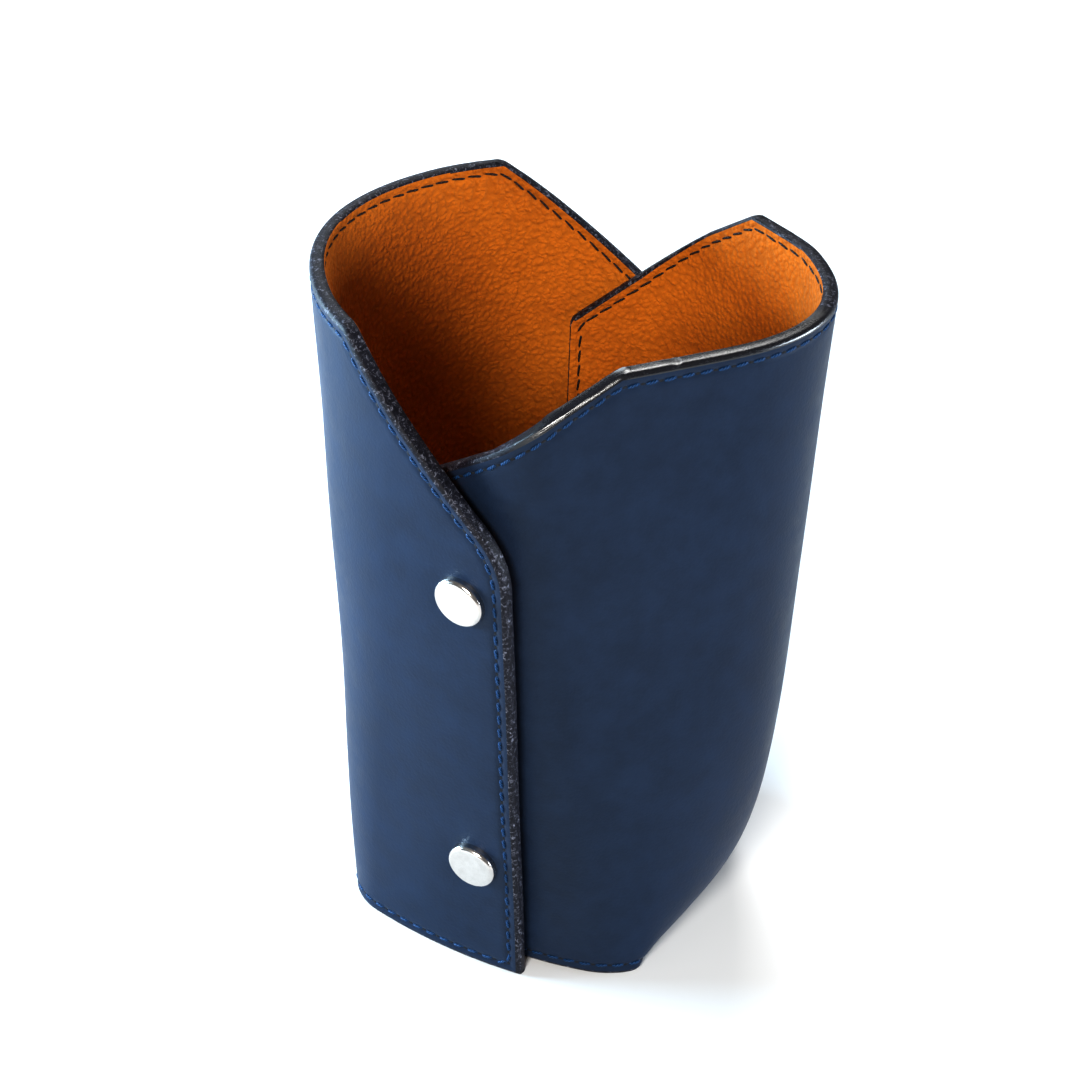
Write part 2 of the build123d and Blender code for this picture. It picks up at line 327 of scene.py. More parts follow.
def panel_grid(panel):
    """Points on the outer face of a panel, row by row from the foot to the rim."""
    levels = level_list()
    lines = [level_line(panel, level) for level in levels]
    totals = np.array([lengths_along(line)[-1] for line, front, rear in lines])
    flap_lengths = {"front": np.array([front for line, front, rear in lines])}
    flap_lengths["rear"] = totals - np.array([rear for line, front, rear in lines])
    stretch = {}
    for seam, values in flap_lengths.items():
        lean = np.gradient(values, levels)
        room = border_share * values / border[-1]
        stretch[seam] = np.minimum(np.clip(np.sqrt(1 + lean**2), 1.0, largest_stretch), room)
    rows = []
    for row, (line, front, rear) in enumerate(lines):
        near_front = border * stretch["front"][row]
        near_rear = border * stretch["rear"][row]
        places = [
            near_front,
            np.linspace(near_front[-1], front, FLAP_COLUMNS + 1)[1:],
            np.linspace(front, rear, WALL_COLUMNS + 1)[1:],
            np.linspace(rear, totals[row] - near_rear[-1], FLAP_COLUMNS + 1)[1:],
            (totals[row] - near_rear[::-1])[1:],
        ]
        flat = along(line, np.concatenate(places))
        rows.append(np.column_stack([flat, np.full(len(flat), levels[row])]))
    return np.array(rows)


grids = {panel: panel_grid(panel) for panel in side_of}
FRONT_CORNER = len(border) + FLAP_COLUMNS - 1
REAR_CORNER = FRONT_CORNER + WALL_COLUMNS
COLUMNS = grids["left"].shape[1]
ROWS = grids["left"].shape[0]
shift = cad_low.x / MM - grids["left"][:, :, 0].min()
for grid in grids.values():
    grid[:, :, 0] += shift
print("grid of", ROWS, "rows and", COLUMNS, "columns, moved by", round(shift, 3), "mm into the frame")

# %% [markdown]
# The sheet gets its thickness from two more grids, one for the outer face and one for the lining's face.
# A Solidify modifier would make it even all over. Here both faces sink towards the free edge over a
# quarter circle, into a groove along the thread and into a dimple under each snap. A slow wave over the
# whole sheet keeps it from looking pressed.

# %% Faces of the sheet
groove_depth = 0.24
groove_width = 0.55
dimple_depth = 0.32
dimple_width = 5.5
wave_depth = 0.35
wave_length = 34.0
wave_start = 10.0
BETWEEN = 4
SMOOTH_REACH = 2
SLIT_COLUMNS = WALL_COLUMNS // 10
FREE_COLUMNS = WALL_COLUMNS // 6


def unit(vectors):
    return vectors / np.maximum(np.linalg.norm(vectors, axis=-1, keepdims=True), 1e-12)


def across_grid(points, axis, reach):
    """Differences between neighbours on a grid, up to some lines apart."""
    lines = np.arange(points.shape[axis])
    ahead = np.minimum(lines + reach, lines[-1])
    behind = np.maximum(lines - reach, 0)
    return np.take(points, ahead, axis) - np.take(points, behind, axis)


def grid_normals(points, sign, reach=1):
    """Normals of a grid of points. The sign turns them towards the outside of the cup."""
    return unit(np.cross(across_grid(points, 1, reach), across_grid(points, 0, reach)) * sign)


def free_edge(points):
    """The grid's points on the free edge of a panel, in runs."""
    slit_front = FRONT_CORNER + SLIT_COLUMNS
    slit_rear = REAR_CORNER - SLIT_COLUMNS
    return [points[:, 0], points[:, -1], points[-1], points[0, : slit_front + 1], points[0, slit_rear:]]


def edge_distance(points, runs):
    """Distance of every grid point from the nearest free edge."""
    samples = []
    for run in runs:
        for part in range(BETWEEN):
            samples.append(run[:-1] + (run[1:] - run[:-1]) * part / BETWEEN)
        samples.append(run[-1:])
    samples = np.concatenate(samples)
    tree = kdtree.KDTree(len(samples))
    for index, sample in enumerate(samples):
        tree.insert(sample, index)
    tree.balance()
    flat = points.reshape(-1, 3)
    return np.array([tree.find(point)[2] for point in flat]).reshape(points.shape[:2])


def rounding(distance, radius):
    """How deep the face has sunk at a distance from the edge."""
    short = np.clip(radius - distance, 0.0, radius)
    return radius - np.sqrt(radius**2 - short**2)


def groove(distance, side):
    return groove_depth * np.exp(-(((distance - stitch_insets[side]) / groove_width) ** 2))


def sinking(distance, side):
    """How deep a face sinks by its rounded edge and by the groove of its thread."""
    return rounding(distance, edge_radii[side]) + groove(distance, side)


def dimples(points, pieces):
    """Depth of the dimples that a row of snap pieces presses into the sheet."""
    depth = np.zeros(points.shape[:2])
    for node in pieces:
        low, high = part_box(node)
        centre = np.array((low + high) / 2) / MM
        depth += dimple_depth * np.exp(-((np.linalg.norm(points - centre, axis=-1) / dimple_width) ** 2))
    return depth


def slow_wave(points):
    """A shallow wave over the sheet that dies out towards the base."""
    flat = points.reshape(-1, 3) / wave_length
    wave = np.array([noise.noise(Vector(point)) for point in flat]).reshape(points.shape[:2])
    return wave_depth * wave * smooth_step(0.0, wave_start, points[:, :, 2])


snap_rows = [f"{seam}_{level}_snap" for seam in seams for level in ("upper", "lower")]
pressed = {"left": ("cap", "socket"), "right": ("stud", "post")}
faces = {}
for panel, grid in grids.items():
    sign = side_of[panel]
    normals = grid_normals(grid, sign, SMOOTH_REACH)
    attached = slice(FRONT_CORNER + FREE_COLUMNS, REAR_CORNER - FREE_COLUMNS)
    normals[0, attached] = (0.0, 0.0, -1.0)
    distance = edge_distance(grid, free_edge(grid))
    centre = grid + normals * slow_wave(grid)[:, :, None]
    outer_press, inner_press = ([f"{row}_{piece}" for row in snap_rows] for piece in pressed[panel])
    outer_depth = sinking(distance, "outer") + dimples(grid, outer_press)
    inner_depth = sheet_thickness - (sinking(distance, "inner") + dimples(grid, inner_press))
    faces[panel] = {
        "outer": centre - normals * outer_depth[:, :, None],
        "glued": centre - normals * leather_thickness,
        "inner": centre - normals * inner_depth[:, :, None],
    }
    print(panel, "panel: widest distance from an edge", round(distance.max(), 1), "mm")

# %% [markdown]
# Next come the solids. A mask says which cells of the grid belong to a piece. Cells make the two faces,
# and every cell side with no neighbour makes a bit of wall, so a piece of any outline is closed. The
# normals of the faces come from the whole grid, so that light runs on smoothly from a wall to its flap.

# %% Closed pieces from cells
CROWN_STEPS = 4
OUT_LINES = 3
crown = 0.16
sharp_angle = 60.0


def link(name, content):
    """A new object in the scene with this mesh, light or camera."""
    made = bpy.data.objects.new(name, content)
    bpy.context.scene.collection.objects.link(made)
    return made


def outward_of(points):
    """At the points of the grid's rim, the way out of the sheet."""
    out = np.zeros_like(points)
    out[:, 0] += unit(points[:, 0] - points[:, OUT_LINES])
    out[:, -1] += unit(points[:, -1] - points[:, -1 - OUT_LINES])
    out[-1] += unit(points[-1] - points[-1 - OUT_LINES])
    out[0] += unit(points[0] - points[OUT_LINES])
    return unit(out)


def open_sides_of(quads):
    """Sides of cells that have no neighbour."""
    starts = quads.ravel()
    ends = np.roll(quads, -1, axis=1).ravel()
    sides = set(zip(starts.tolist(), ends.tolist()))
    return sorted((a, b) for a, b in sides if (b, a) not in sides)


def crown_rungs(sides, top, bottom):
    """Points that round a cut edge outwards, and their numbers at each point of the rim."""
    on_rim = np.zeros(top.shape[:2], bool)
    on_rim[[0, -1]] = True
    on_rim[:, [0, -1]] = True
    on_rim = on_rim.ravel()
    out = outward_of((top + bottom) / 2).reshape(-1, 3)
    upper, lower = top.reshape(-1, 3), bottom.reshape(-1, 3)
    steps = np.arange(1, CROWN_STEPS)[:, None] / CROWN_STEPS
    points, ladder = [], {}
    total = len(upper) + len(lower)
    for vertex in sorted({v for side in sides for v in side}):
        if on_rim[vertex]:
            rungs = upper[vertex] + (lower[vertex] - upper[vertex]) * steps
            points.append(rungs + out[vertex] * crown * 4 * steps * (1 - steps))
            ladder[vertex] = list(range(total, total + CROWN_STEPS - 1))
            total += CROWN_STEPS - 1
    return points, ladder


def wall_faces(sides, count, ladder):
    """Faces that close a piece along its open sides."""
    walls = []
    for a, b in sides:
        left, right = [a, a + count], [b, b + count]
        if a in ladder and b in ladder:
            left[1:1] = ladder[a]
            right[1:1] = ladder[b]
        for step in range(len(left) - 1):
            walls.append((right[step], left[step], left[step + 1], right[step + 1]))
    return walls


def light_as_whole(mesh, cells, top, bottom, sign):
    """Gives the two faces of a piece the normals of the whole grid, and leaves its walls flat."""
    outside, inside = grid_normals(top, sign), -grid_normals(bottom, sign)
    normals = np.concatenate([outside.reshape(-1, 3), inside.reshape(-1, 3)])
    wall_count = len(mesh.polygons) - len(cells)
    wall_normals = np.zeros((wall_count * 4, 3))
    mesh.polygons.foreach_set("use_smooth", [True] * len(cells) + [False] * wall_count)
    mesh.normals_split_custom_set(np.concatenate([normals[cells].reshape(-1, 3), wall_normals]).tolist())


def closed_piece(name, cells, top, bottom, sign, is_edge=False):
    """A closed mesh between two grids, over the cells of a mask. The outside of an edge is crowned."""
    rows, columns = top.shape[:2]
    count = rows * columns
    ids = np.arange(count).reshape(rows, columns)
    quads = np.stack([ids[:-1, :-1], ids[:-1, 1:], ids[1:, 1:], ids[1:, :-1]], -1)[cells]
    if sign < 0:
        quads = quads[:, ::-1]
    sides = open_sides_of(quads)
    rungs, ladder = crown_rungs(sides, top, bottom) if is_edge else ([], {})
    points = np.concatenate([top.reshape(-1, 3), bottom.reshape(-1, 3), *rungs])
    walls = np.array(wall_faces(sides, count, ladder))
    all_faces = np.concatenate([quads, quads[:, ::-1] + count, walls])
    used, compact = np.unique(all_faces, return_inverse=True)
    mesh = bpy.data.meshes.new(name)
    mesh.from_pydata((points[used] * MM).tolist(), [], compact.reshape(all_faces.shape).tolist())
    piece = link(name, mesh)
    mesh.shade_smooth()
    if is_edge:
        mesh.set_sharp_from_angle(angle=radians(sharp_angle))
    else:
        light_as_whole(mesh, all_faces[: 2 * len(quads)], top, bottom, sign)
    mesh.update()
    return piece


# %% [markdown]
# Each panel is divided where its body changes: a front flap, a wall and a rear flap. The strip along the
# free edge is a piece of its own, because burnishing and paint make it another material.

# %% Leather, lining and painted edges
spans = {
    "front_flap": (0, FRONT_CORNER),
    "wall": (FRONT_CORNER, REAR_CORNER),
    "rear_flap": (REAR_CORNER, COLUMNS - 1),
}


def ring_cells(width):
    """Cells of a panel up to some lines from its free edge."""
    cells = np.zeros((ROWS - 1, COLUMNS - 1), bool)
    cells[:, :width] = True
    cells[:, -width:] = True
    cells[-width:] = True
    cells[:width, :FRONT_CORNER] = True
    cells[:width, REAR_CORNER:] = True
    return cells


def spill_cells(panel):
    """Cells on the inside that the paint has run over, along the rim and the slope of a rear flap."""
    cells = np.zeros((ROWS - 1, COLUMNS - 1), bool)
    cells[1 - SPILL_RING :, FRONT_CORNER + WALL_COLUMNS // 2 :] = True
    cells[-SPILL_RING:, REAR_CORNER:] = True
    sloped = level_list()[:-1] > end_heights[panel]["rear"]
    cells[sloped, -SPILL_RING:] = True
    return cells


def edge_bottom(face, cells):
    """Underside of an edge: the whole sheet next to the cut, and the outer leather alone behind that."""
    near = np.zeros(face["inner"].shape[:2], bool)
    for row in (slice(None, -1), slice(1, None)):
        for column in (slice(None, -1), slice(1, None)):
            near[row, column] |= cells
    return np.where(near[:, :, None], face["inner"], face["glued"])


def corners_of(mesh):
    """Each face of a mesh, known by its points, with the normals at its corners."""
    known = {}
    for polygon in mesh.polygons:
        places = [mesh.vertices[index].co.to_tuple(7) for index in polygon.vertices]
        normals = [mesh.corner_normals[index].vector.copy() for index in polygon.loop_indices]
        known[frozenset(places)] = dict(zip(places, normals))
    return known


def share_normals(mesh, known):
    """Gives faces the normals that they have on a whole ring, so that light runs on across a division."""
    normals = []
    for polygon in mesh.polygons:
        places = [mesh.vertices[index].co.to_tuple(7) for index in polygon.vertices]
        found = known.get(frozenset(places), {})
        normals += [found.get(place, Vector()) for place in places]
    mesh.normals_split_custom_set(normals)


pieces = {}
edge_cells = ring_cells(RING)
for panel, face in faces.items():
    sign = side_of[panel]
    cut_cells = ring_cells(CUT_RING) | spill_cells(panel)
    bottom = edge_bottom(face, cut_cells)
    ring = closed_piece("ring", edge_cells, face["outer"], bottom, sign, is_edge=True)
    ring_corners = corners_of(ring.data)
    bpy.data.meshes.remove(ring.data)
    for part, (first, last) in spans.items():
        span = np.zeros_like(edge_cells)
        span[:, first:last] = True
        body = f"{panel}_{part}"
        outside, inside, along_edge = span & ~edge_cells, span & ~cut_cells, span & edge_cells
        pieces["outer", body] = closed_piece("outer_" + body, outside, face["outer"], face["glued"], sign)
        pieces["lining", body] = closed_piece("lining_" + body, inside, face["glued"], face["inner"], sign)
        edge = closed_piece("edge_" + body, along_edge, face["outer"], bottom, sign, is_edge=True)
        share_normals(edge.data, ring_corners)
        pieces["edge", body] = edge
for piece in pieces.values():
    print(piece.name, len(piece.data.polygons), "faces")

# %% [markdown]
# The base lies between the two bends. Its ends meet the first row of each wall, and its long sides are
# free edges that bulge a little towards the flaps.

# %% Base of the cup
BASE_COLUMNS = 70
BASE_ROWS = 40
base_sign = -1.0


def base_ends(panel):
    """Points where the base meets a wall, from the front to the rear."""
    foot = grids[panel][0, FRONT_CORNER : REAR_CORNER + 1]
    half = abs(plans[panel, "front"][0][0, 1]) - relief_length
    kept = np.abs(foot[:, 1]) <= half
    line = foot[kept]
    ends = [[np.interp(y, foot[:, 1], foot[:, 0]), y, 0.0] for y in (-half, half)]
    return np.concatenate([[ends[0]], line, [ends[1]]])


def base_grid():
    left, right = base_ends("left"), base_ends("right")
    depth = left[-1, 1] - left[0, 1]
    places = np.concatenate([
        border,
        np.linspace(border[-1], depth - border[-1], BASE_ROWS)[1:-1],
        depth - border[::-1],
    ]) / depth
    t = np.linspace(0.0, 1.0, BASE_COLUMNS)[:, None]
    bulge = base_half_depth - (abs(left[0, 1]) + abs(right[0, 1])) / 2
    rows = []
    for place in places:
        near = along(left, [place * lengths_along(left)[-1]])[0]
        far = along(right, [place * lengths_along(right)[-1]])[0]
        row = near + (far - near) * t
        row[:, 1] += (2 * place - 1) * bulge * (4 * t * (1 - t))[:, 0]
        rows.append(row)
    return np.array(rows)


floor_grid = base_grid()
floor_up = np.zeros_like(floor_grid) + (0.0, 0.0, 1.0)
floor_distance = edge_distance(floor_grid, [floor_grid[0], floor_grid[-1]])
floor_outer_depth = sinking(floor_distance, "outer")
floor_inner_depth = sheet_thickness - sinking(floor_distance, "inner")
floor_face = {
    "outer": floor_grid + floor_up * floor_outer_depth[:, :, None],
    "glued": floor_grid + floor_up * leather_thickness,
    "inner": floor_grid + floor_up * floor_inner_depth[:, :, None],
}


def floor_cells(width):
    """Cells of the base up to some lines from its two long sides."""
    cells = np.zeros((floor_grid.shape[0] - 1, BASE_COLUMNS - 1), bool)
    cells[:width] = True
    cells[-width:] = True
    return cells


floor_edges, floor_cuts = floor_cells(RING), floor_cells(CUT_RING)
base_outer, base_glued, base_inner = (floor_face[side] for side in ("outer", "glued", "inner"))
base_bottom = edge_bottom(floor_face, floor_cuts)
pieces["outer", "base"] = closed_piece("outer_base", ~floor_edges, base_outer, base_glued, base_sign)
pieces["lining", "base"] = closed_piece("lining_base", ~floor_cuts, base_glued, base_inner, base_sign)
base_edge = closed_piece("edge_base", floor_edges, base_outer, base_bottom, base_sign, is_edge=True)
pieces["edge", "base"] = base_edge
print("base:", floor_grid.shape[0], "rows of", BASE_COLUMNS, "points")

# %% [markdown]
# Every finish is a small tree of shader nodes around one Principled shader. Image textures would need a
# file and a UV map. Noise that is read from Object coordinates needs neither, and runs on from one piece
# of the sheet to the next. These coordinates are in metres, so the scales of the noise are large numbers.


# %% Helpers for materials
def finish_of(name):
    """A new material with its nodes and its main shader."""
    material = bpy.data.materials.new(name)
    material.use_nodes = True
    tree = material.node_tree
    return material, tree, tree.nodes["Principled BSDF"]


def put(tree, socket, value):
    """Links an output to a socket, or gives the socket a plain value."""
    if isinstance(value, bpy.types.NodeSocket):
        tree.links.new(value, socket)
    else:
        socket.default_value = value


def dress(tree, shader, values):
    """Gives a shader its colours, gloss and other inputs."""
    for name, value in values.items():
        put(tree, shader.inputs[name], value)


def add(tree, kind, **values):
    """A new node. Values whose names are sockets go to the sockets, others to the node."""
    node = tree.nodes.new(kind)
    for key, value in values.items():
        if key in node.inputs:
            put(tree, node.inputs[key], value)
        else:
            setattr(node, key, value)
    return node


def reckon(tree, operation, first, second):
    """A sum, difference or product of two values."""
    node = add(tree, "ShaderNodeMath", operation=operation)
    put(tree, node.inputs[0], first)
    put(tree, node.inputs[1], second)
    return node.outputs["Value"]


def ramp(tree, factor, stops):
    """A colour ramp over a factor."""
    node = add(tree, "ShaderNodeValToRGB", Fac=factor)
    elements = node.color_ramp.elements
    while len(elements) < len(stops):
        elements.new(0.5)
    for element, (place, colour) in zip(elements, stops):
        element.position = place
        element.color = (*colour, 1.0)
    return node.outputs["Color"]


def grey(value):
    return (value, value, value)


def bumped(tree, shader, heights):
    """Bumps on top of each other, each as height output, strength and depth in millimetres."""
    normal = None
    for output, strength, depth in heights:
        bump = add(tree, "ShaderNodeBump", Strength=strength, Distance=depth * MM, Height=output)
        if normal is not None:
            tree.links.new(normal, bump.inputs["Normal"])
        normal = bump.outputs["Normal"]
    tree.links.new(normal, shader.inputs["Normal"])


def noise_of(tree, where, scale, detail=3.0, roughness=0.55, distortion=0.0):
    values = {"Scale": scale, "Detail": detail, "Roughness": roughness, "Distortion": distortion}
    return add(tree, "ShaderNodeTexNoise", Vector=where, **values).outputs["Fac"]


def multiplied(tree, tone, shade, share):
    """A tone darkened and lightened by a grey shade."""
    values = {"Factor": share, "A": tone, "B": shade}
    return add(tree, "ShaderNodeMix", data_type="RGBA", blend_type="MULTIPLY", **values).outputs["Result"]


def place_on(tree):
    return tree.nodes.new("ShaderNodeTexCoord").outputs["Object"]


# %% [markdown]
# The outside is smooth dyed leather: two close navy tones that drift into each other, fine pores, and a
# soft sheen. Pores could be modelled, but they are far smaller than a cell of the grid, so a bump at the
# size of real pores does it.


# %% Navy leather
def navy_leather():
    material, tree, shader = finish_of("smooth_navy_leather")
    where = place_on(tree)
    deep_navy, worn_navy = (0.0098, 0.0192, 0.0405), (0.0128, 0.0248, 0.0520)
    drift = noise_of(tree, where, scale=26.0, detail=4.0, roughness=0.6, distortion=0.4)
    mottle = noise_of(tree, where, scale=190.0, detail=3.0, roughness=0.65)
    tone = ramp(tree, drift, [(0.30, deep_navy), (0.72, worn_navy)])
    fleck = ramp(tree, mottle, [(0.35, grey(0.86)), (0.70, grey(1.10))])
    dress(tree, shader, {
        "Base Color": multiplied(tree, tone, fleck, 1.0),
        "Roughness": ramp(tree, mottle, [(0.30, grey(0.40)), (0.75, grey(0.52))]),
        "Specular IOR Level": 0.15,
        "Sheen Weight": 0.03,
        "Sheen Roughness": 0.45,
        "Sheen Tint": (0.35, 0.60, 1.0, 1.0),
    })
    pores = add(tree, "ShaderNodeTexVoronoi", feature="SMOOTH_F1", Vector=where, Scale=1900.0, Smoothness=0.6)
    creases = noise_of(tree, where, scale=620.0, detail=5.0, roughness=0.6, distortion=0.6)
    bumped(tree, shader, [(creases, 0.26, 0.10), (pores.outputs["Distance"], 0.30, 0.06)])
    return material


# %% [markdown]
# The lining is soft leather: a warm tan with a pebbled, slightly wrinkled grain about one millimetre
# across, and no gloss. Plain Voronoi cells would draw a net of hard lines. Smooth ones, bent by noise,
# give pebbles. Their colour is lighter on top and darker towards their rims: painted light and shade
# in the grain's hollows.


# %% Tan lining
def tan_lining():
    material, tree, shader = finish_of("pebbled_tan_lining")
    where = place_on(tree)
    deep_tan, light_tan = (0.39, 0.102, 0.005), (0.53, 0.156, 0.009)
    bend_length = 1.6 * MM
    drift = noise_of(tree, where, scale=45.0, detail=4.0, roughness=0.6, distortion=0.3)
    nap = noise_of(tree, where, scale=2600.0, detail=4.0, roughness=0.65)
    bend = noise_of(tree, where, scale=420.0, detail=3.0, roughness=0.6)
    bent = add(tree, "ShaderNodeVectorMath", operation="MULTIPLY_ADD")
    for socket, value in zip(bent.inputs, (bend, grey(bend_length), where)):
        put(tree, socket, value)
    pebbles = add(
        tree, "ShaderNodeTexVoronoi", feature="SMOOTH_F1", Vector=bent.outputs["Vector"],
        Scale=1080.0, Smoothness=0.3, Randomness=1.0,
    ).outputs["Distance"]
    wrinkles = noise_of(tree, where, scale=300.0, detail=3.0, roughness=0.55, distortion=1.0)
    tone = ramp(tree, drift, [(0.30, deep_tan), (0.70, light_tan)])
    # Painted shade: the colour darkens from the top of each pebble into the hollow around it.
    shade = ramp(tree, pebbles, [(0.15, grey(1.06)), (0.75, grey(0.74))])
    dress(tree, shader, {
        "Base Color": multiplied(tree, tone, shade, 0.7),
        "Roughness": ramp(tree, nap, [(0.3, grey(0.78)), (0.7, grey(0.95))]),
        "Specular IOR Level": 0.2,
        "Sheen Weight": 0.06,
        "Sheen Tint": (1.0, 0.75, 0.45, 1.0),
    })
    rise = ramp(tree, pebbles, [(0.05, grey(1.0)), (0.80, grey(0.0))])
    bumped(tree, shader, [(wrinkles, 0.12, 0.30), (rise, 1.0, 0.30), (nap, 0.25, 0.06)])
    return material


# %% [markdown]
# The cut edge is sanded, burnished and painted almost black. A little of the fibre shows through as pale
# specks, and its gloss is uneven. The right front rim is burnished most: there the specks fade and the
# gloss grows. A second material could do that, but a measure of the place on the cup lets one finish run
# into the other.


# %% Painted edge
def painted_edge():
    material, tree, shader = finish_of("painted_edge")
    where = place_on(tree)
    towards_rim = (1.0, -1.0, 0.3)
    burnish_start, burnish_end = 0.0755, 0.0805
    dark, fibre, pale = (0.003, 0.003, 0.006), (0.010, 0.010, 0.018), (0.24, 0.25, 0.31)
    fibres = noise_of(tree, where, scale=1500.0, detail=6.0, roughness=0.78, distortion=0.8)
    aside = add(tree, "ShaderNodeVectorMath", operation="DOT_PRODUCT")
    put(tree, aside.inputs[0], where)
    put(tree, aside.inputs[1], towards_rim)
    limits = {"From Min": burnish_start, "From Max": burnish_end}
    burnish = add(tree, "ShaderNodeMapRange", Value=aside.outputs["Value"], **limits).outputs["Result"]
    raw = ramp(tree, burnish, [(0.0, grey(1.0)), (1.0, grey(0.35))])
    uneven = reckon(tree, "MULTIPLY", fibres, raw)
    dress(tree, shader, {
        "Base Color": ramp(tree, uneven, [(0.38, dark), (0.54, fibre), (0.69, pale)]),
        "Roughness": ramp(tree, uneven, [(0.15, grey(0.22)), (0.50, grey(0.52))]),
        "Specular IOR Level": ramp(tree, burnish, [(0.0, grey(0.22)), (1.0, grey(1.0))]),
    })
    bumped(tree, shader, [(uneven, 0.55, 0.16)])
    return material


# %% [markdown]
# Thread is twisted from strands. Modelling the strands would cost many faces for each stitch, so a wave
# across the stitch's own UV map gives the twist. The same wave makes the colour darker in the grooves
# between strands: painted shade. The thread is blue outside and dark brown on the lining.
# Each needle hole between the outer stitches is a dark, dull disc: painted shade for the depth of the hole.


# %% Thread and needle holes
def thread(name, dark, light):
    material, tree, shader = finish_of(name)
    chart = add(tree, "ShaderNodeUVMap", uv_map="twist").outputs["UV"]
    wave = {"Vector": chart, "Scale": 2.4, "Distortion": 0.6}
    strands_and_shade = add(tree, "ShaderNodeTexWave", bands_direction="DIAGONAL", **wave).outputs["Fac"]
    # Painted shade: the thread's colour darkens in the grooves between the strands of the wave.
    dress(tree, shader, {
        "Base Color": ramp(tree, strands_and_shade, [(0.2, dark), (0.8, light)]),
        "Roughness": ramp(tree, strands_and_shade, [(0.0, grey(0.72)), (1.0, grey(0.50))]),
        "Specular IOR Level": 0.3,
    })
    bumped(tree, shader, [(strands_and_shade, 0.6, 0.12)])
    return material


def painted_hole_shade():
    material, tree, shader = finish_of("painted_hole_shade")
    grit = noise_of(tree, place_on(tree), scale=3000.0)
    # Near black: painted shade that stands in for the inside of a needle hole.
    dress(tree, shader, {
        "Base Color": ramp(tree, grit, [(0.3, (0.002, 0.003, 0.006)), (0.7, (0.006, 0.008, 0.014))]),
        "Roughness": ramp(tree, grit, [(0.3, grey(0.8)), (0.7, grey(0.95))]),
    })
    return material


# %% [markdown]
# The snaps are polished metal with a little haze. Their CAD solids are round enough to be kept as they
# are, so they only need a metal whose roughness varies slightly. With it, every finish is ready to be put
# on.


# %% Polished nickel, and all finishes
def nickel():
    material, tree, shader = finish_of("polished_nickel")
    haze = noise_of(tree, place_on(tree), scale=700.0, detail=5.0, roughness=0.65)
    dress(tree, shader, {
        "Base Color": ramp(tree, haze, [(0.3, (0.58, 0.535, 0.50)), (0.7, (0.68, 0.635, 0.60))]),
        "Metallic": 1.0,
        "Roughness": ramp(tree, haze, [(0.3, grey(0.14)), (0.7, grey(0.24))]),
    })
    bumped(tree, shader, [(haze, 0.05, 0.03)])
    return material


finishes = {
    "outer": navy_leather(),
    "lining": tan_lining(),
    "edge": painted_edge(),
    "thread_outer": thread("blue_thread", (0.002, 0.021, 0.066), (0.005, 0.052, 0.150)),
    "thread_inner": thread("dark_thread", (0.010, 0.006, 0.006), (0.030, 0.018, 0.016)),
    "holes": painted_hole_shade(),
    "snap": nickel(),
}
for (kind, body), piece in pieces.items():
    piece.data.materials.append(finishes[kind])
print("finishes:", ", ".join(material.name for material in finishes.values()))

# %% [markdown]
# Thread runs round every free edge, in and out of evenly spaced holes. Geometry Nodes repeat one stitch
# along a path: the path is trimmed by half a stitch at its ends, divided evenly, and a stitch is turned
# at each point so that it lies along the path and on the surface. The tree ends with real geometry and
# its material.


# %% The tree that sews
SEWING_SEED = 7


